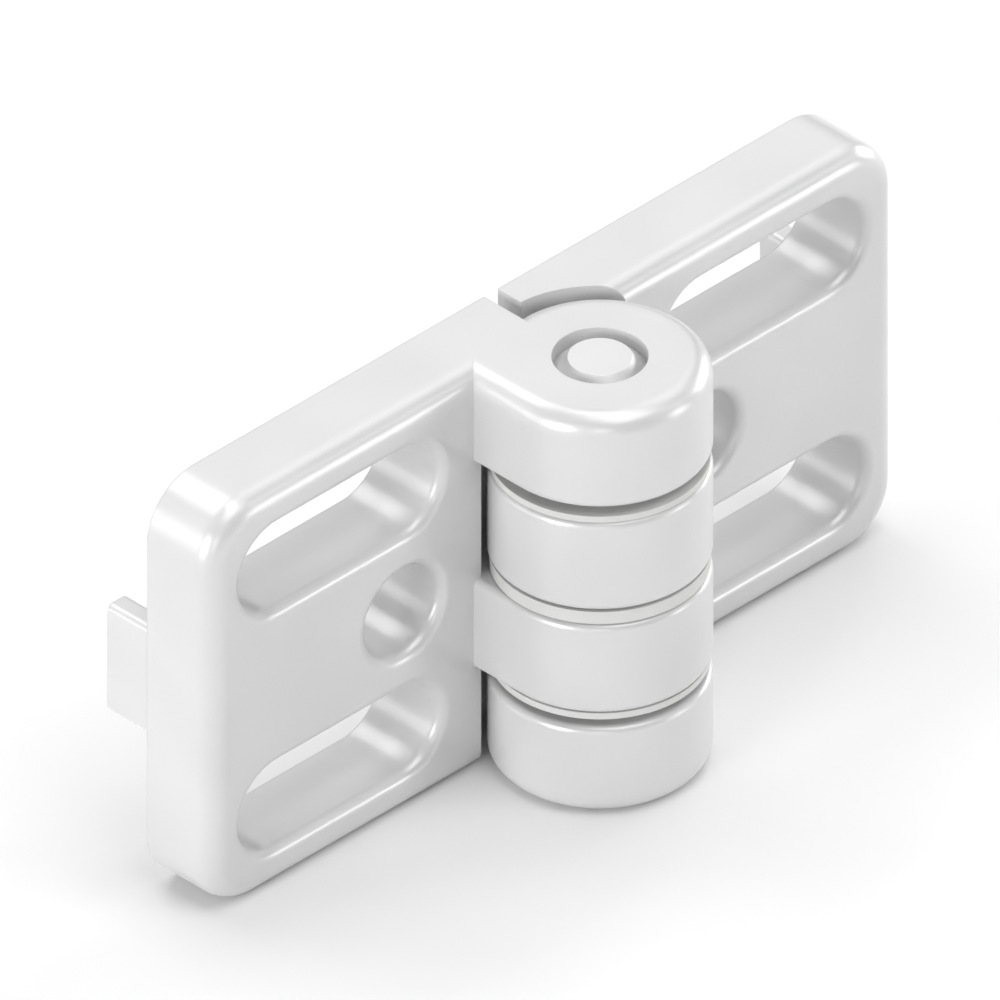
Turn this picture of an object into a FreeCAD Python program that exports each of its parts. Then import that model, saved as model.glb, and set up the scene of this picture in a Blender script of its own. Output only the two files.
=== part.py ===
"""Two-leaf hinge for slotted profiles, opened flat, in millimetres.

X runs along the leaves, Z runs up along the pin and the leaves' backs face +Y.
The origin is in the mounting plane, midway between the leaves and at mid height.
Each leaf is drawn about the pin axis, as the left one, and set in place by its Placement:
the right leaf is the same casting turned half a turn about Y, and bored to run on the pin.
"""

import math
import os

import FreeCAD
import Part
import Sketcher

# Driving sizes

SIZES = {
    "leaf_height": 30,
    "leaf_reach": 30,
    "leaf_thickness": 5.5,
    "leaf_gap": 1.2,
    "leaf_corner_radius": 4,
    "leaf_front_rounding": 1.5,
    "pin_standoff": 4,
    "pin_diameter": 6,
    "pin_end_chamfer": 1,
    "pin_end_recess": 0.08,
    "running_clearance": 0.05,
    "knuckle_diameter": 14,
    "inner_knuckle_length": 6.65,
    "knuckle_gap": 1.1,
    "knuckle_rounding": 0.5,
    "sweep_clearance": 0.5,
    "hole_diameter": 6.4,
    "hole_distance": 13,
    "slot_end_inset": 6,
    "slot_row_inset": 6,
    "mouth_rounding": 0.75,
    "lug_height": 8,
    "lug_length": 4.1,
    "lug_thickness": 1.8,
    "lug_inset": 0.65,
    "lug_rounding": 0.5,
    "washer_setback": 0.15,
    "washer_play": 0.1,
    "outer_washer_thickness": 0.45,
}

# Places and sizes that follow from them, as formulas

HALF_HEIGHT = "(Sizes.leaf_height / 2)"
INNER_START = "(Sizes.knuckle_gap / 2)"
INNER_END = "(Sizes.knuckle_gap / 2 + Sizes.inner_knuckle_length)"
OUTER_START = f"({INNER_END} + Sizes.knuckle_gap)"
INNER_EDGE = "(Sizes.leaf_gap / 2)"
BACK_FACE = "(Sizes.pin_standoff + Sizes.leaf_thickness)"
KNUCKLE_RADIUS = "(Sizes.knuckle_diameter / 2)"
SWEEP_RADIUS = "(Sizes.knuckle_diameter / 2 + Sizes.sweep_clearance)"
PIN_RADIUS = "(Sizes.pin_diameter / 2)"
RUNNING_RADIUS = "(Sizes.pin_diameter / 2 + Sizes.running_clearance)"
HOLE_RADIUS = "(Sizes.hole_diameter / 2)"
SLOT_ROW = f"({HALF_HEIGHT} - Sizes.slot_row_inset)"
SLOT_END = "(Sizes.leaf_reach - Sizes.slot_end_inset)"

# The mouths are rounded as far as the walls beside them allow

WALL_SHARE = 0.9
WALL_TO_HOLE = f"({SLOT_ROW} / 2 - {HOLE_RADIUS})"
WALL_ABOVE = f"(Sizes.slot_row_inset - Sizes.leaf_front_rounding - {HOLE_RADIUS})"
WALL_BEYOND = f"(Sizes.slot_end_inset - Sizes.leaf_front_rounding - {HOLE_RADIUS})"
THIN_WALL = f"min({WALL_TO_HOLE}; {WALL_ABOVE}; {WALL_BEYOND})"
MOUTH_RADIUS = f"min(Sizes.mouth_rounding; {WALL_SHARE} * {THIN_WALL})"

TOUCHING = 1e-4

doc = FreeCAD.newDocument("hinge")


def write_sizes():
    """Put the driving sizes into a spreadsheet, each with its name as alias."""
    sheet = doc.addObject("Spreadsheet::Sheet", "Sizes")
    for row, (name, number) in enumerate(SIZES.items(), 1):
        sheet.set(f"A{row}", name)
        sheet.set(f"B{row}", str(number))
        sheet.setAlias(f"B{row}", name)
    doc.recompute()
    return sheet


sheet = write_sizes()


def value(formula):
    """Work a formula out with the sizes in the spreadsheet."""
    return float(sheet.evalExpression(formula))


# Sketches

def start_sketch(body, name, plane_role, offset=None):
    """Start a sketch on one of the body's origin planes, moved along the plane's normal by a formula."""
    sketch = body.newObject("Sketcher::SketchObject", name)
    plane = next(f for f in body.Origin.OriginFeatures if f.Role == plane_role)
    sketch.AttachmentSupport = [(plane, "")]
    sketch.MapMode = "FlatFace"
    if offset is not None:
        sketch.setExpression("AttachmentOffset.Base.z", offset)
    return sketch


def bind(sketch, name, constraint, formula):
    """Add a constraint under a name and drive it by a formula."""
    index = sketch.addConstraint(constraint)
    sketch.renameConstraint(index, name)
    sketch.setExpression("Constraints." + name, formula)


def place_point(sketch, name, curve, end, across=None, up=None):
    """Hold a point of a curve at a distance across and up from the sketch's origin."""
    if across is not None:
        distance = Sketcher.Constraint("DistanceX", -1, 1, curve, end, value(across))
        bind(sketch, name + "_across", distance, across)
    if up is not None:
        distance = Sketcher.Constraint("DistanceY", -1, 1, curve, end, value(up))
        bind(sketch, name + "_up", distance, up)


def draw_line(sketch, start, end):
    """Draw a line between two places given as pairs of numbers."""
    return sketch.addGeometry(Part.LineSegment(FreeCAD.Vector(*start, 0), FreeCAD.Vector(*end, 0)), False)


def draw_arc(sketch, centre, radius, from_degrees, to_degrees):
    """Draw an arc anticlockwise between two angles."""
    circle = Part.Circle(FreeCAD.Vector(*centre, 0), FreeCAD.Vector(0, 0, 1), radius)
    arc = Part.ArcOfCircle(circle, math.radians(from_degrees), math.radians(to_degrees))
    return sketch.addGeometry(arc, False)


def draw_rectangle(sketch, name, left, right, bottom, top):
    """Draw a rectangle with each side held by a formula; a side without one lies on the upright axis."""
    x0 = value(left)
    x1 = 0.0 if right is None else value(right)
    y0 = value(bottom)
    y1 = value(top)
    sides = [
        draw_line(sketch, (x0, y0), (x1, y0)),
        draw_line(sketch, (x1, y0), (x1, y1)),
        draw_line(sketch, (x1, y1), (x0, y1)),
        draw_line(sketch, (x0, y1), (x0, y0)),
    ]
    for side, following in zip(sides, sides[1:] + sides[:1]):
        sketch.addConstraint(Sketcher.Constraint("Coincident", side, 2, following, 1))
    for side in sides[0::2]:
        sketch.addConstraint(Sketcher.Constraint("Horizontal", side))
    for side in sides[1::2]:
        sketch.addConstraint(Sketcher.Constraint("Vertical", side))
    place_point(sketch, name + "_low", sides[0], 1, left, bottom)
    place_point(sketch, name + "_high", sides[2], 1, right, top)
    if right is None:
        sketch.addConstraint(Sketcher.Constraint("PointOnObject", sides[2], 1, -2))


def draw_circle(sketch, name, radius, across=None, up=None):
    """Draw a circle; a place without a formula lies on that axis of the sketch."""
    x = 0.0 if across is None else value(across)
    y = 0.0 if up is None else value(up)
    outline = Part.Circle(FreeCAD.Vector(x, y, 0), FreeCAD.Vector(0, 0, 1), value(radius))
    circle = sketch.addGeometry(outline, False)
    place_point(sketch, name, circle, 3, across, up)
    if across is None:
        sketch.addConstraint(Sketcher.Constraint("PointOnObject", circle, 3, -2))
    if up is None:
        sketch.addConstraint(Sketcher.Constraint("PointOnObject", circle, 3, -1))
    bind(sketch, name + "_radius", Sketcher.Constraint("Radius", circle, value(radius)), radius)


def draw_slot(sketch, name, near, far, up, radius):
    """Draw a level slot with round ends about two centres."""
    x0 = value(far)
    x1 = value(near)
    y = value(up)
    r = value(radius)
    near_end = draw_arc(sketch, (x1, y), r, -90, 90)
    top = draw_line(sketch, (x1, y + r), (x0, y + r))
    far_end = draw_arc(sketch, (x0, y), r, 90, 270)
    bottom = draw_line(sketch, (x0, y - r), (x1, y - r))
    loop = [near_end, top, far_end, bottom]
    for curve, following in zip(loop, loop[1:] + loop[:1]):
        sketch.addConstraint(Sketcher.Constraint("Tangent", curve, 2, following, 1))
    place_point(sketch, name + "_near", near_end, 3, near, up)
    place_point(sketch, name + "_far", far_end, 3, far)
    sketch.addConstraint(Sketcher.Constraint("Horizontal", top))
    bind(sketch, name + "_radius", Sketcher.Constraint("Radius", near_end, r), radius)


def draw_knuckle_section(sketch, bottom, top, bottom_rounding, top_rounding, inner=None):
    """Draw half of a knuckle's section: a block whose two outer corners are arcs."""
    x0 = -value(KNUCKLE_RADIUS)
    x1 = 0.0 if inner is None else value(inner)
    y0 = value(bottom)
    y1 = value(top)
    low = value(bottom_rounding)
    high = value(top_rounding)
    floor = draw_line(sketch, (x1, y0), (x0 + low, y0))
    low_arc = draw_arc(sketch, (x0 + low, y0 + low), low, 180, 270)
    wall = draw_line(sketch, (x0, y0 + low), (x0, y1 - high))
    high_arc = draw_arc(sketch, (x0 + high, y1 - high), high, 90, 180)
    roof = draw_line(sketch, (x0 + high, y1), (x1, y1))
    inside = draw_line(sketch, (x1, y1), (x1, y0))
    sketch.addConstraint(Sketcher.Constraint("Tangent", floor, 2, low_arc, 2))
    sketch.addConstraint(Sketcher.Constraint("Tangent", low_arc, 1, wall, 1))
    sketch.addConstraint(Sketcher.Constraint("Tangent", wall, 2, high_arc, 2))
    sketch.addConstraint(Sketcher.Constraint("Tangent", high_arc, 1, roof, 1))
    sketch.addConstraint(Sketcher.Constraint("Coincident", roof, 2, inside, 1))
    sketch.addConstraint(Sketcher.Constraint("Coincident", inside, 2, floor, 1))
    sketch.addConstraint(Sketcher.Constraint("Horizontal", floor))
    sketch.addConstraint(Sketcher.Constraint("Horizontal", roof))
    sketch.addConstraint(Sketcher.Constraint("Vertical", wall))
    sketch.addConstraint(Sketcher.Constraint("Vertical", inside))
    place_point(sketch, "wall", wall, 1, across="-" + KNUCKLE_RADIUS)
    place_point(sketch, "floor", floor, 1, across=inner, up=bottom)
    place_point(sketch, "roof", roof, 2, up=top)
    if inner is None:
        sketch.addConstraint(Sketcher.Constraint("PointOnObject", floor, 1, -2))
    bind(sketch, "low_radius", Sketcher.Constraint("Radius", low_arc, low), bottom_rounding)
    bind(sketch, "high_radius", Sketcher.Constraint("Radius", high_arc, high), top_rounding)


# Features

def pad(body, name, sketch, length, backwards=False, midplane=False):
    """Thicken a sketch by a formula, along its normal or against it."""
    feature = body.newObject("PartDesign::Pad", name)
    feature.Profile = sketch
    feature.Midplane = midplane
    feature.Reversed = backwards
    feature.setExpression("Length", length)
    doc.recompute()
    return feature


def pocket_through(body, name, sketch, midplane=False):
    """Cut a sketch right through the body, and make sure that it took something away."""
    before = body.Shape.Volume
    feature = body.newObject("PartDesign::Pocket", name)
    feature.Profile = sketch
    feature.Type = "ThroughAll"
    feature.Midplane = midplane
    doc.recompute()
    if body.Shape.Volume >= before:
        raise RuntimeError(name + " cuts nothing")
    return feature


def turn(body, kind, name, sketch):
    """Turn a sketch once round its upright axis, to add or to cut."""
    feature = body.newObject("PartDesign::" + kind, name)
    feature.Profile = sketch
    feature.ReferenceAxis = (sketch, ["V_Axis"])
    feature.Angle = 360
    doc.recompute()
    return feature


def round_edges(body, name, base, radius, wanted):
    """Round the edges of a feature that a test picks."""
    names = [f"Edge{i}" for i, edge in enumerate(base.Shape.Edges, 1) if wanted(edge)]
    feature = body.newObject("PartDesign::Fillet", name)
    feature.Base = (base, names)
    feature.setExpression("Radius", radius)
    doc.recompute()
    return feature


def chamfer_edges(body, name, base, size, wanted):
    """Chamfer the edges of a feature that a test picks, at 45 degrees."""
    names = [f"Edge{i}" for i, edge in enumerate(base.Shape.Edges, 1) if wanted(edge)]
    feature = body.newObject("PartDesign::Chamfer", name)
    feature.Base = (base, names)
    feature.setExpression("Size", size)
    doc.recompute()
    return feature


def near(a, b):
    """Say whether two lengths are the same."""
    return abs(a - b) < TOUCHING


def runs_along_y(edge):
    """Say whether an edge is straight and runs from front to back."""
    ends = edge.BoundBox
    return near(ends.XLength, 0) and near(ends.ZLength, 0)


# The leaf, drawn about the pin axis with its plate to the left

def add_plate(body):
    """Pad the plate, round its outer corners, then its front edges."""
    sketch = start_sketch(body, "PlateOutline", "XZ_Plane", "-Sizes.pin_standoff")
    draw_rectangle(sketch, "plate", "-Sizes.leaf_reach", "-" + INNER_EDGE, "-" + HALF_HEIGHT, HALF_HEIGHT)
    plate = pad(body, "Plate", sketch, "Sizes.leaf_thickness", backwards=True)
    outer = -value("Sizes.leaf_reach")
    corners = round_edges(body, "PlateCorners", plate, "Sizes.leaf_corner_radius",
                          lambda edge: runs_along_y(edge) and near(edge.BoundBox.XMin, outer))
    front = value("Sizes.pin_standoff")
    round_edges(body, "PlateFront", corners, "Sizes.leaf_front_rounding",
                lambda edge: near(edge.BoundBox.YMax, front) and near(edge.BoundBox.XMin, outer))


def add_sweep_cuts(body):
    """Hollow the plate's inner edge, where the other leaf's knuckles turn."""
    sketch = start_sketch(body, "SweepZones", "XZ_Plane")
    draw_rectangle(sketch, "upper", "-" + SWEEP_RADIUS, None, "-" + INNER_START, OUTER_START)
    draw_rectangle(sketch, "lower", "-" + SWEEP_RADIUS, None, "-" + HALF_HEIGHT, "-" + INNER_END)
    before = body.Shape.Volume
    turn(body, "Groove", "SweepCuts", sketch)
    if body.Shape.Volume >= before:
        raise RuntimeError("SweepCuts cuts nothing")


def add_knuckle(body, name, bottom, top, bottom_rounding, top_rounding):
    """Turn a knuckle and join it to the plate by a web with the same section."""
    barrel = start_sketch(body, name + "Section", "XZ_Plane")
    draw_knuckle_section(barrel, bottom, top, bottom_rounding, top_rounding)
    turn(body, "Revolution", name, barrel)
    web = start_sketch(body, name + "WebSection", "XZ_Plane")
    draw_knuckle_section(web, bottom, top, bottom_rounding, top_rounding, inner="-" + INNER_EDGE)
    pad(body, name + "Web", web, "Sizes.pin_standoff + Sizes.leaf_thickness / 2", backwards=True)


def add_bore(body, radius):
    """Bore both knuckles for the pin."""
    sketch = start_sketch(body, "BoreOutline", "XY_Plane")
    draw_circle(sketch, "bore", radius)
    pocket_through(body, "Bore", sketch, midplane=True)


def add_screw_holes(body):
    """Cut the round hole and the two slots, and round their mouths on the front face."""
    hole = start_sketch(body, "HoleOutline", "XZ_Plane", "-Sizes.pin_standoff")
    draw_circle(hole, "hole", HOLE_RADIUS, across="-Sizes.hole_distance")
    pocket_through(body, "Hole", hole)
    slot = start_sketch(body, "SlotOutline", "XZ_Plane", "-Sizes.pin_standoff")
    draw_slot(slot, "slot", "-Sizes.hole_distance", "-" + SLOT_END, SLOT_ROW, HOLE_RADIUS)
    upper_slot = pocket_through(body, "UpperSlot", slot)
    lower_slot = body.newObject("PartDesign::Mirrored", "LowerSlot")
    lower_slot.Originals = [upper_slot]
    lower_slot.MirrorPlane = (slot, ["H_Axis"])
    body.Tip = lower_slot
    doc.recompute()

    radius = value(HOLE_RADIUS)
    near_side = -value("Sizes.hole_distance") + radius
    far_side = -value(SLOT_END) - radius
    top_side = value(SLOT_ROW) + radius
    front = value("Sizes.pin_standoff")

    def at_a_mouth(edge):
        box = edge.BoundBox
        flat = near(box.YMin, front) and near(box.YMax, front)
        inside = box.XMin > far_side - TOUCHING and box.XMax < near_side + TOUCHING
        return flat and inside and max(abs(box.ZMin), abs(box.ZMax)) < top_side + TOUCHING

    round_edges(body, "Mouths", lower_slot, MOUTH_RADIUS, at_a_mouth)


def add_lug(body):
    """Pad the lug that keys into the profile's slot, and round its long edges."""
    sketch = start_sketch(body, "LugOutline", "XZ_Plane", "-" + BACK_FACE)
    outer = "-(Sizes.leaf_reach - Sizes.lug_inset)"
    inner = "-(Sizes.leaf_reach - Sizes.lug_inset - Sizes.lug_thickness)"
    draw_rectangle(sketch, "lug", outer, inner, "-Sizes.lug_height / 2", "Sizes.lug_height / 2")
    lug = pad(body, "Lug", sketch, "Sizes.lug_length", backwards=True)
    back = value(BACK_FACE)
    round_edges(body, "LugEdges", lug, "Sizes.lug_rounding",
                lambda edge: runs_along_y(edge) and edge.BoundBox.YMin > back - TOUCHING)


def make_leaf(label, bore_radius, turned):
    """Build one leaf and set it on the pin axis, turned half a turn for the right one."""
    body = doc.addObject("PartDesign::Body", label)
    body.Label = label
    add_plate(body)
    add_sweep_cuts(body)
    add_knuckle(body, "OuterKnuckle", OUTER_START, HALF_HEIGHT,
                "Sizes.knuckle_rounding", "Sizes.leaf_front_rounding")
    add_knuckle(body, "InnerKnuckle", "-" + INNER_END, "-" + INNER_START,
                "Sizes.knuckle_rounding", "Sizes.knuckle_rounding")
    add_bore(body, bore_radius)
    add_screw_holes(body)
    add_lug(body)
    half_turn = FreeCAD.Rotation(FreeCAD.Vector(0, 1, 0), 180 if turned else 0)
    body.Placement = FreeCAD.Placement(FreeCAD.Vector(0, 0, 0), half_turn)
    set_on_pin_axis(body)
    return body


def set_on_pin_axis(body, level=None):
    """Move a piece from the origin to the pin axis, and to a level along it."""
    body.setExpression("Placement.Base.y", "-" + BACK_FACE)
    if level is not None:
        body.setExpression("Placement.Base.z", level)


# The pin and the washers on it

def make_pin(label):
    """Pad the pin both ways from mid height and chamfer its ends."""
    body = doc.addObject("PartDesign::Body", label)
    body.Label = label
    sketch = start_sketch(body, "PinOutline", "XY_Plane")
    draw_circle(sketch, "pin", PIN_RADIUS)
    shaft = pad(body, "PinShaft", sketch, "Sizes.leaf_height - 2 * Sizes.pin_end_recess", midplane=True)
    chamfer_edges(body, "PinEnds", shaft, "Sizes.pin_end_chamfer",
                  lambda edge: near(edge.BoundBox.ZLength, 0))
    set_on_pin_axis(body)
    return body


def make_washer(label, level, thickness):
    """Pad a flat ring upwards from its level on the pin."""
    body = doc.addObject("PartDesign::Body", label)
    body.Label = label
    sketch = start_sketch(body, "WasherOutline", "XY_Plane")
    draw_circle(sketch, "rim", f"({KNUCKLE_RADIUS} - Sizes.washer_setback)")
    draw_circle(sketch, "eye", RUNNING_RADIUS)
    pad(body, "WasherRing", sketch, thickness)
    set_on_pin_axis(body, level)
    return body


def make_pieces():
    """Build every piece of the hinge."""
    outer_washer = "Sizes.outer_washer_thickness"
    middle_washer = "(Sizes.knuckle_gap - 2 * Sizes.washer_play)"
    return [
        make_leaf("left_leaf", PIN_RADIUS, turned=False),
        make_leaf("right_leaf", RUNNING_RADIUS, turned=True),
        make_pin("hinge_pin"),
        make_washer("thrust_washer_upper", INNER_END, outer_washer),
        make_washer("thrust_washer_middle", f"-{middle_washer} / 2", middle_washer),
        make_washer("thrust_washer_lower", f"-({INNER_END} + {outer_washer})", outer_washer),
    ]


def check_document():
    """Stop if any object of the document failed."""
    for item in doc.Objects:
        if "Invalid" in item.State or "Error" in item.State:
            raise RuntimeError(f"{item.Label} failed: {item.State}")


def write_pieces(pieces):
    """Check each piece and write it to a STEP file under its label."""
    os.makedirs("parts", exist_ok=True)
    for piece in pieces:
        shape = piece.Shape
        if shape.isNull() or not shape.isValid() or len(shape.Solids) != 1:
            raise RuntimeError(piece.Label + " is not one sound solid")
        shape.exportStep(f"parts/{piece.Label}.step")
        box = shape.optimalBoundingBox()
        print(f"{piece.Label}: {shape.Volume:.2f} mm3, X {box.XMin:.2f} to {box.XMax:.2f}, "
              f"Y {box.YMin:.2f} to {box.YMax:.2f}, Z {box.ZMin:.2f} to {box.ZMax:.2f}")


pieces = make_pieces()
doc.recompute()
check_document()
write_pieces(pieces)
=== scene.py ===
# %% [markdown]
# This lesson dresses a hinge for slotted profiles: a pair of die-cast leaves that turn on
# a plain steel pin. Its shape comes complete from the CAD model, so the lesson is about
# what the shape is made of: a cast and coated metal, a turned pin, moulded washers, and
# the light that shows their curves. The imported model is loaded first, because everything
# below is placed around it.

import bpy
import numpy as np
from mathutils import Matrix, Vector


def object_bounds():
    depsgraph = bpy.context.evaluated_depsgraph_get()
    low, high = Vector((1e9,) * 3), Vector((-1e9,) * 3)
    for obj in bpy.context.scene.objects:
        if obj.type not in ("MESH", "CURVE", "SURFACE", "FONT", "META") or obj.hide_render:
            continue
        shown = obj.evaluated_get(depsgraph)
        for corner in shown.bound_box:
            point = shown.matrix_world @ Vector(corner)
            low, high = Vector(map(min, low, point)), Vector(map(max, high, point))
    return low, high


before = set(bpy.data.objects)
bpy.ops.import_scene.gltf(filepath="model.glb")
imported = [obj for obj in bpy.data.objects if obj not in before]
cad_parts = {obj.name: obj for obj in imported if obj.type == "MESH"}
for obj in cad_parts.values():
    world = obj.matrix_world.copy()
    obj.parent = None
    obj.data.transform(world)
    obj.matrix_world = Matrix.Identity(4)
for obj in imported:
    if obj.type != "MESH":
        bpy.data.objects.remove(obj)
cad_box = [list(corner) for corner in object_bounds()]
print("CAD box:", cad_box)

MM = 0.001

# %% [markdown]
# A shader node group is a small function: named sockets go in, named sockets come out. An
# effect that several finishes share is best kept in one, because it is built once and
# each finish gives it its own values. Four helpers keep the later cells short: they make
# an empty group, fill a socket with a value or a link, add a node, and add a Math node.

# %% Helpers for node groups and materials
def new_group(name, inputs, outputs):
    """Make a shader node group with float or vector inputs, given as (name, kind, value)."""
    group = bpy.data.node_groups.new(name, "ShaderNodeTree")
    for label, kind, value in inputs:
        socket = group.interface.new_socket(label, in_out="INPUT", socket_type=kind)
        if value is not None:
            socket.default_value = value
    for label, kind in outputs:
        group.interface.new_socket(label, in_out="OUTPUT", socket_type=kind)
    return group, group.nodes.new("NodeGroupInput"), group.nodes.new("NodeGroupOutput")


def fill(tree, socket, value):
    """Link another socket to this one, or give it a plain value."""
    if isinstance(value, bpy.types.NodeSocket):
        tree.links.new(value, socket)
    else:
        socket.default_value = value


def add_node(tree, kind, settings=None, **inputs):
    """Add a node, set its fields, and fill its inputs, with _ for a space in their names."""
    node = tree.nodes.new(kind)
    for field, value in (settings or {}).items():
        setattr(node, field, value)
    for label, value in inputs.items():
        fill(tree, node.inputs[label.replace("_", " ")], value)
    return node


def math_node(tree, operation, *values):
    """Add a Math node on one or two numbers or sockets, and return its result."""
    node = tree.nodes.new("ShaderNodeMath")
    node.operation = operation
    for socket, value in zip(node.inputs, values):
        fill(tree, socket, value)
    return node.outputs[0]


# %% [markdown]
# A sprayed or moulded surface is never quite even. Two sizes of noise make it: a fine
# grain, a quarter to a third of a millimetre across, and a slower swell of one to two
# millimetres that painters call orange peel. Their mix is a height for a Bump node. A
# third, slow noise is the mottle, by which the colour and the gloss drift over a piece.
# A painted image would do too, but it needs the piece unwrapped and shows seams. Noise on
# the piece's own coordinates has no seams and stays put when the leaf swings.

# %% The grain of a sprayed or moulded surface
SWELLS_PER_GRAIN = 0.24
MOTTLES_PER_GRAIN = 0.05


def make_surface_grain():
    """Height is swell + share x (grain - swell); Mottle is a slow noise from 0 to 1."""
    group, given, result = new_group(
        "surface_grain",
        [
            ("Place", "NodeSocketVector", None),
            ("Grains per Metre", "NodeSocketFloat", 3000.0),
            ("Grain Share", "NodeSocketFloat", 0.35),
        ],
        [("Height", "NodeSocketFloat"), ("Mottle", "NodeSocketFloat")],
    )
    place = given.outputs["Place"]
    grains = given.outputs["Grains per Metre"]
    swells = math_node(group, "MULTIPLY", grains, SWELLS_PER_GRAIN)
    mottles = math_node(group, "MULTIPLY", grains, MOTTLES_PER_GRAIN)
    grain = add_node(group, "ShaderNodeTexNoise", Vector=place, Scale=grains, Detail=3.0, Roughness=0.55)
    swell = add_node(group, "ShaderNodeTexNoise", Vector=place, Scale=swells, Detail=1.0)
    mottle = add_node(group, "ShaderNodeTexNoise", Vector=place, Scale=mottles, Detail=1.0)
    mixed = add_node(
        group,
        "ShaderNodeMix",
        {"data_type": "FLOAT"},
        Factor=given.outputs["Grain Share"],
        A=swell.outputs["Fac"],
        B=grain.outputs["Fac"],
    )
    group.links.new(mixed.outputs[0], result.inputs["Height"])
    group.links.new(mottle.outputs["Fac"], result.inputs["Mottle"])
    return group


surface_grain = make_surface_grain()
print(surface_grain.name, "has", len(surface_grain.nodes), "nodes")

# %% [markdown]
# A pin is cut to length on a lathe, which leaves fine rings on its ends and fine lines
# round its side. They could be cut into the mesh, but they are only about a thousandth of
# a millimetre high, so a bump shows them as well. One wave does for both: it follows the
# distance from the pin's axis plus six tenths of the height along it. On a face only the
# distance changes, on a side only the height, and on the chamfer between them both do.

# %% The rings of a turned surface
PIN_AXIS_Y = -9.5 * MM
HEIGHT_SHARE = 0.6
WANDERS_PER_METRE = 500.0
WANDER_TURN = 5.0


def make_turned_rings():
    """Height is sin(turns + wander): turns are 2 pi x rings per metre x (radius + 0.6 height)."""
    group, given, result = new_group(
        "turned_rings",
        [("Place", "NodeSocketVector", None), ("Rings per Metre", "NodeSocketFloat", 7000.0)],
        [("Height", "NodeSocketFloat")],
    )
    place = given.outputs["Place"]
    parts = add_node(group, "ShaderNodeSeparateXYZ", Vector=place)
    across = math_node(group, "SUBTRACT", parts.outputs["Y"], PIN_AXIS_Y)
    x_squared = math_node(group, "MULTIPLY", parts.outputs["X"], parts.outputs["X"])
    y_squared = math_node(group, "MULTIPLY", across, across)
    radius = math_node(group, "SQRT", math_node(group, "ADD", x_squared, y_squared))
    rise = math_node(group, "MULTIPLY", parts.outputs["Z"], HEIGHT_SHARE)
    path = math_node(group, "ADD", radius, rise)
    rings = math_node(group, "MULTIPLY", path, given.outputs["Rings per Metre"])
    turns = math_node(group, "MULTIPLY", rings, 2.0 * np.pi)
    noise = add_node(group, "ShaderNodeTexNoise", Vector=place, Scale=WANDERS_PER_METRE, Detail=2.0)
    wander = math_node(group, "MULTIPLY", noise.outputs["Fac"], WANDER_TURN)
    phase = math_node(group, "ADD", turns, wander)
    group.links.new(math_node(group, "SINE", phase), result.inputs["Height"])
    return group


turned_rings = make_turned_rings()
print(turned_rings.name, "has", len(turned_rings.nodes), "nodes")

# %% [markdown]
# Every finish is made of the same few steps: an empty material, a number and a colour
# that drift with the mottle, and a height that lifts the surface. Paint flows together
# over a sharp edge and a tumbled edge is blunt, so no edge is quite sharp: a Bevel node
# turns the normals there over a tenth of a millimetre or less, and the edge catches a
# thin line of light. A Bevel modifier would round the mesh itself, but these edges are
# too fine to be worth the faces, and the CAD meshes stay as they are.

# %% Steps that the finishes share
MOTTLE_RANGE = (0.2, 0.8)
BEVEL_SAMPLES = 8


def start_material(name):
    """Make an empty material, and return it with its tree, its shader and its object coordinates."""
    material = bpy.data.materials.new(name)
    material.use_nodes = True
    tree = material.node_tree
    tree.nodes.clear()
    shader = tree.nodes.new("ShaderNodeBsdfPrincipled")
    surface = tree.nodes.new("ShaderNodeOutputMaterial")
    tree.links.new(shader.outputs["BSDF"], surface.inputs["Surface"])
    place = tree.nodes.new("ShaderNodeTexCoord").outputs["Object"]
    return material, tree, shader, place


def drift(tree, mask, low, high):
    """Turn a mask into a number that rises smoothly from low to high over the mottle's range."""
    ramp = tree.nodes.new("ShaderNodeMapRange")
    ramp.interpolation_type = "SMOOTHSTEP"
    tree.links.new(mask, ramp.inputs["Value"])
    limits = {"From Min": MOTTLE_RANGE[0], "From Max": MOTTLE_RANGE[1], "To Min": low, "To Max": high}
    for label, value in limits.items():
        ramp.inputs[label].default_value = value
    return ramp.outputs["Result"]


def mottled_colour(tree, mask, darker, lighter):
    """Mix two colours by a mask: darker where it is low, lighter where it is high."""
    mixed = tree.nodes.new("ShaderNodeMix")
    mixed.data_type = "RGBA"
    tree.links.new(drift(tree, mask, 0.0, 1.0), mixed.inputs["Factor"])
    mixed.inputs["A"].default_value = (*darker, 1.0)
    mixed.inputs["B"].default_value = (*lighter, 1.0)
    return mixed.outputs["Result"]


def lift(tree, shader, height, distance, edge_radius):
    """Raise the surface by height x distance, on edges softened over a radius."""
    edge = add_node(tree, "ShaderNodeBevel", {"samples": BEVEL_SAMPLES}, Radius=edge_radius)
    softened = edge.outputs["Normal"]
    bump = add_node(tree, "ShaderNodeBump", Height=height, Distance=distance, Normal=softened)
    tree.links.new(bump.outputs["Normal"], shader.inputs["Normal"])


# %% [markdown]
# The leaves are zinc castings under a light grey powder coat, half gloss. The coat's grey
# and its roughness drift with the mottle, and the grain lifts it by about a hundredth of a
# millimetre. A little metal powder in the coat brightens its gloss, so a small part of it
# counts as metal. The shader's own clear coat would also give a gloss, but a powder coat
# is one layer with the colour all through it, so the plain surface is nearer the truth.

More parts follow.
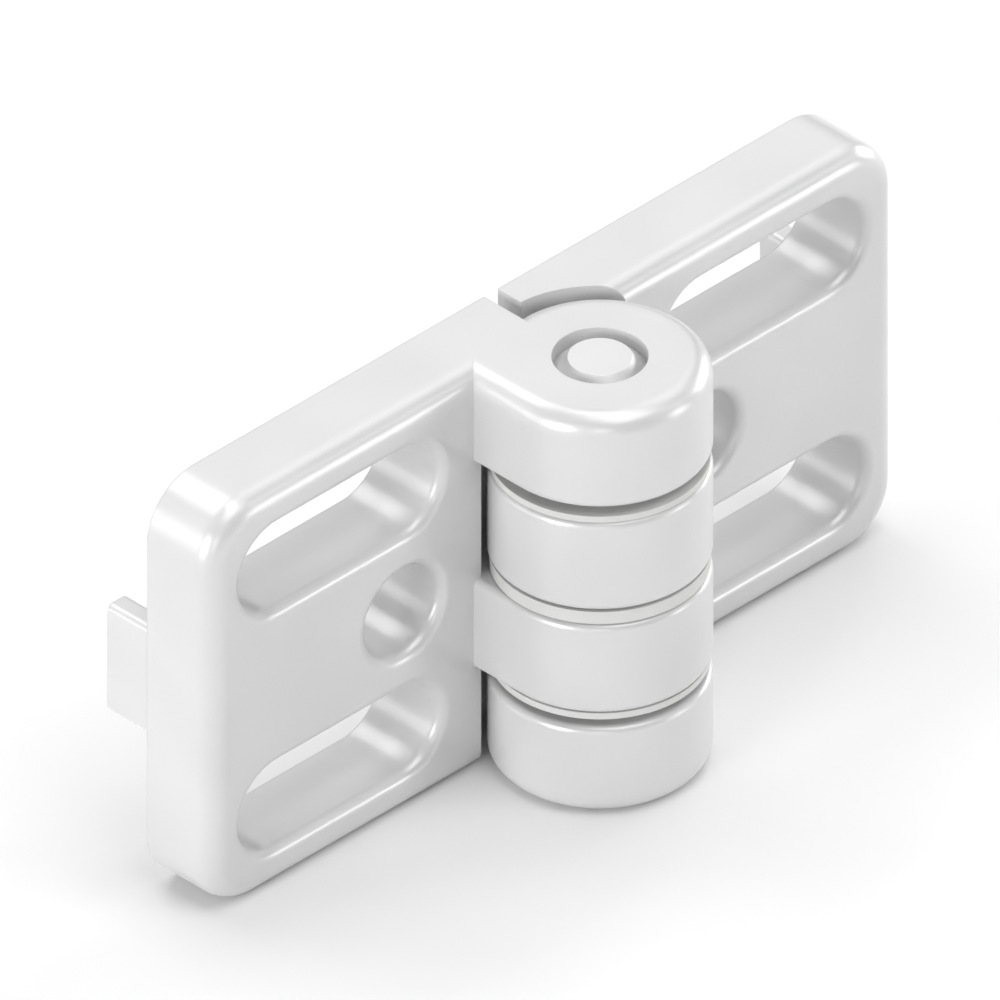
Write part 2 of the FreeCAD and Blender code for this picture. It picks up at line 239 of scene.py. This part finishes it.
# %% The coated casting
def make_coated_casting():
    """Light grey powder coat on a zinc casting."""
    material, tree, shader, place = start_material("coated_casting")
    grain = add_node(tree, "ShaderNodeGroup", {"node_tree": surface_grain}, Place=place)
    grain.inputs["Grains per Metre"].default_value = 2600.0
    mottle = grain.outputs["Mottle"]
    colour = mottled_colour(tree, mottle, darker=(0.63, 0.63, 0.63), lighter=(0.67, 0.67, 0.67))
    tree.links.new(colour, shader.inputs["Base Color"])
    tree.links.new(drift(tree, mottle, low=0.285, high=0.335), shader.inputs["Roughness"])
    shader.inputs["Metallic"].default_value = 0.15
    shader.inputs["IOR"].default_value = 1.6
    lift(tree, shader, grain.outputs["Height"], distance=0.03 * MM, edge_radius=0.1 * MM)
    return material


coated_casting = make_coated_casting()
print(coated_casting.name, "has", len(coated_casting.node_tree.nodes), "nodes")

# %% [markdown]
# The pin is plain steel with a satin finish, a little warmer than the coat. A metal has no
# colour under its gloss, so Metallic is 1 and the base colour is the colour of its
# reflections. A rougher metal blurs them, so the pin's flat and its chamfer stay close in
# tone. An anisotropic gloss would stretch the highlights along the rings, but on an end
# this small the rings' bump is enough.

# %% The turned pin
def make_turned_steel():
    """Satin turned steel with fine rings."""
    material, tree, shader, place = start_material("turned_steel")
    rings = add_node(tree, "ShaderNodeGroup", {"node_tree": turned_rings}, Place=place)
    grain = add_node(tree, "ShaderNodeGroup", {"node_tree": surface_grain}, Place=place)
    mottle = grain.outputs["Mottle"]
    colour = mottled_colour(tree, mottle, darker=(0.70, 0.70, 0.70), lighter=(0.74, 0.74, 0.735))
    tree.links.new(colour, shader.inputs["Base Color"])
    tree.links.new(drift(tree, mottle, low=0.54, high=0.60), shader.inputs["Roughness"])
    shader.inputs["Metallic"].default_value = 1.0
    lift(tree, shader, rings.outputs["Height"], distance=0.0005 * MM, edge_radius=0.05 * MM)
    return material


turned_steel = make_turned_steel()
print(turned_steel.name, "has", len(turned_steel.node_tree.nodes), "nodes")

# %% [markdown]
# The three rings between the knuckles are thrust washers, moulded from a hard wearing
# plastic, so they are softer in gloss than the coat and have a finer grain. Light goes a
# little way into such a plastic, which Subsurface would show, but the rims that can be
# seen are too thin for it to tell.

# %% The washers
def make_moulded_plastic():
    """Off-white low-friction plastic with a silky gloss."""
    material, tree, shader, place = start_material("moulded_plastic")
    grain = add_node(tree, "ShaderNodeGroup", {"node_tree": surface_grain}, Place=place)
    grain.inputs["Grains per Metre"].default_value = 4200.0
    mottle = grain.outputs["Mottle"]
    colour = mottled_colour(tree, mottle, darker=(0.60, 0.60, 0.59), lighter=(0.64, 0.64, 0.63))
    tree.links.new(colour, shader.inputs["Base Color"])
    tree.links.new(drift(tree, mottle, low=0.42, high=0.52), shader.inputs["Roughness"])
    lift(tree, shader, grain.outputs["Height"], distance=0.03 * MM, edge_radius=0.05 * MM)
    return material


moulded_plastic = make_moulded_plastic()
print(moulded_plastic.name, "has", len(moulded_plastic.node_tree.nodes), "nodes")

# %% [markdown]
# The CAD nodes keep their own meshes, because the model already has every rounding, mouth
# and chamfer of the real hinge. Each has one material slot, and its finish is assigned to
# that.

# %% Dress the CAD nodes
FINISHES = {
    "left_leaf": coated_casting,
    "right_leaf": coated_casting,
    "hinge_pin": turned_steel,
    "thrust_washer_upper": moulded_plastic,
    "thrust_washer_middle": moulded_plastic,
    "thrust_washer_lower": moulded_plastic,
}
for node_name, finish in FINISHES.items():
    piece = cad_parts[node_name]
    piece.material_slots[0].material = finish
    print(node_name, "wears", finish.name)

# %% [markdown]
# The hinge stands on a plain pale sheet, matt so that it shows a soft shadow and mirrors
# nothing. It is one grid of two parameters: x and y run over a square, and z is the level
# of the hinge's lowest edge. Blender's own plane would look the same, but the grid is the
# smallest example of a surface that is worked out as whole arrays.

# %% The floor
FLOOR_LEVEL = cad_box[0][2]


def make_floor(half_width, steps):
    """Square sheet: x and y run from -half_width to +half_width, z is the floor level."""
    line = np.linspace(-half_width, half_width, steps)
    x, y = np.meshgrid(line, line)
    points = np.stack([x, y, np.full_like(x, FLOOR_LEVEL)], axis=-1).reshape(-1, 3)
    corner = (np.arange(steps - 1)[:, None] * steps + np.arange(steps - 1)).ravel()
    faces = np.stack([corner, corner + 1, corner + steps + 1, corner + steps], axis=-1)
    mesh = bpy.data.meshes.new("floor")
    mesh.from_pydata(points.tolist(), [], faces.tolist())
    sheet = bpy.data.objects.new("floor", mesh)
    bpy.context.scene.collection.objects.link(sheet)
    return sheet


floor = make_floor(half_width=2.0, steps=9)
floor_paint, _, floor_shader, _ = start_material("floor_paint")
floor_shader.inputs["Base Color"].default_value = (0.85, 0.85, 0.85, 1.0)
floor_shader.inputs["Roughness"].default_value = 0.9
floor_shader.inputs["Specular IOR Level"].default_value = 0.1
floor.data.materials.append(floor_paint)
print("floor of", len(floor.data.polygons), "faces at", FLOOR_LEVEL)

# %% [markdown]
# Soft boxes stand well away from the hinge, so that they light it evenly, and each is
# aimed at its middle. The large ones give the light. The small ones give little light and
# draw the bright lines along the edges: they stand where the roundings mirror them into
# the camera. A normal n mirrors the direction c to the camera into 2 (n . c) n - c. So the
# roundings along the front's level edges mirror what lies to the right by 0.577, and the
# leaf's outer corners what lies to the back by 0.577. A picture of a studio round the hinge
# would give such lines too, but lamps are easier to move one by one.

# %% Light
TARGET = Vector((-0.002, -0.006, 0.0))
SOFTBOX_DISTANCE = 0.9

# Name, direction from the hinge, width and height in metres, power in watts
SOFTBOXES = [
    ("left_softbox", (-1.0, -0.1, 0.22), 0.4, 0.36, 4.4),
    ("left_back_softbox", (-0.85, 0.53, 0.2), 0.33, 0.4, 1.25),
    ("left_front_softbox", (-0.68, -0.68, 0.24), 0.24, 0.3, 0.7),
    ("back_left_softbox", (-0.577, 0.577, 0.577), 0.25, 0.25, 0.2),
    ("right_front_softbox", (0.577, -0.8, 0.15), 0.2, 0.3, 1.35),
    ("right_high_softbox", (0.577, -0.577, 0.577), 0.25, 0.2, 0.3),
    ("right_softbox", (1.0, -0.1, 0.22), 0.5, 0.36, 3.2),
    ("top_right_softbox", (0.577, 0.12, 0.807), 0.45, 0.3, 0.7),
    ("top_front_softbox", (0.0, -0.36, 0.93), 0.6, 0.6, 3.4),
    ("top_softbox", (0.1, 0.12, 0.98), 0.35, 0.35, 1.4),
    ("back_softbox", (-0.05, 0.56, 0.83), 0.55, 0.22, 1.95),
    ("far_corner_softbox", (0.577, 0.577, 0.577), 0.6, 0.6, 1.2),
]


def add_softbox(name, towards, width, height, watts):
    """A rectangular lamp that stands in a direction from the hinge and looks back at it."""
    lamp = bpy.data.lights.new(name, "AREA")
    lamp.shape = "RECTANGLE"
    lamp.size = width
    lamp.size_y = height
    lamp.energy = watts
    box = bpy.data.objects.new(name, lamp)
    away = Vector(towards).normalized()
    box.location = TARGET + away * SOFTBOX_DISTANCE
    box.rotation_euler = away.to_track_quat("Z", "Y").to_euler()
    bpy.context.scene.collection.objects.link(box)


for entry in SOFTBOXES:
    add_softbox(*entry)
print(len(SOFTBOXES), "soft boxes of", round(sum(entry[-1] for entry in SOFTBOXES), 2), "watts together")

# %% [markdown]
# A weak and even sky fills what the boxes leave dark, such as the undersides and the far
# sides. It is plain white, so it adds light and no colour.

# %% Sky
SKY_STRENGTH = 0.1
world = bpy.data.worlds.new("studio")
world.use_nodes = True
sky = world.node_tree.nodes["Background"]
sky.inputs["Color"].default_value = (1.0, 1.0, 1.0, 1.0)
sky.inputs["Strength"].default_value = SKY_STRENGTH
bpy.context.scene.world = world
print("sky of strength", SKY_STRENGTH)

# %% [markdown]
# The photograph is a parallel view from one corner: upright edges stay upright, and both
# level directions rise at thirty degrees. That is an orthographic camera that looks down
# at atan(1 / sqrt 2) from halfway between the front and the left side. The scale of the
# picture and the point at its middle were worked out from the hinge's own edges. A long
# lens from far away would come close to it, but only a parallel view keeps the edges
# exactly parallel.

# %% Camera
PICTURE_WIDTH = 61.665 * MM
PICTURE_MIDDLE = Vector((-4.355, -5.145, 4.081)) * MM
CAMERA_DISTANCE = 0.4
camera_data = bpy.data.cameras.new("corner_view")
camera_data.type = "ORTHO"
camera_data.ortho_scale = PICTURE_WIDTH
camera = bpy.data.objects.new("corner_view", camera_data)
towards_camera = Vector((-1.0, -1.0, 1.0)).normalized()
camera.location = PICTURE_MIDDLE + towards_camera * CAMERA_DISTANCE
camera.rotation_euler = towards_camera.to_track_quat("Z", "Y").to_euler()
bpy.context.scene.collection.objects.link(camera)
bpy.context.scene.camera = camera
bpy.context.scene.view_settings.view_transform = "Standard"
print("camera at", [round(value, 4) for value in camera.location])
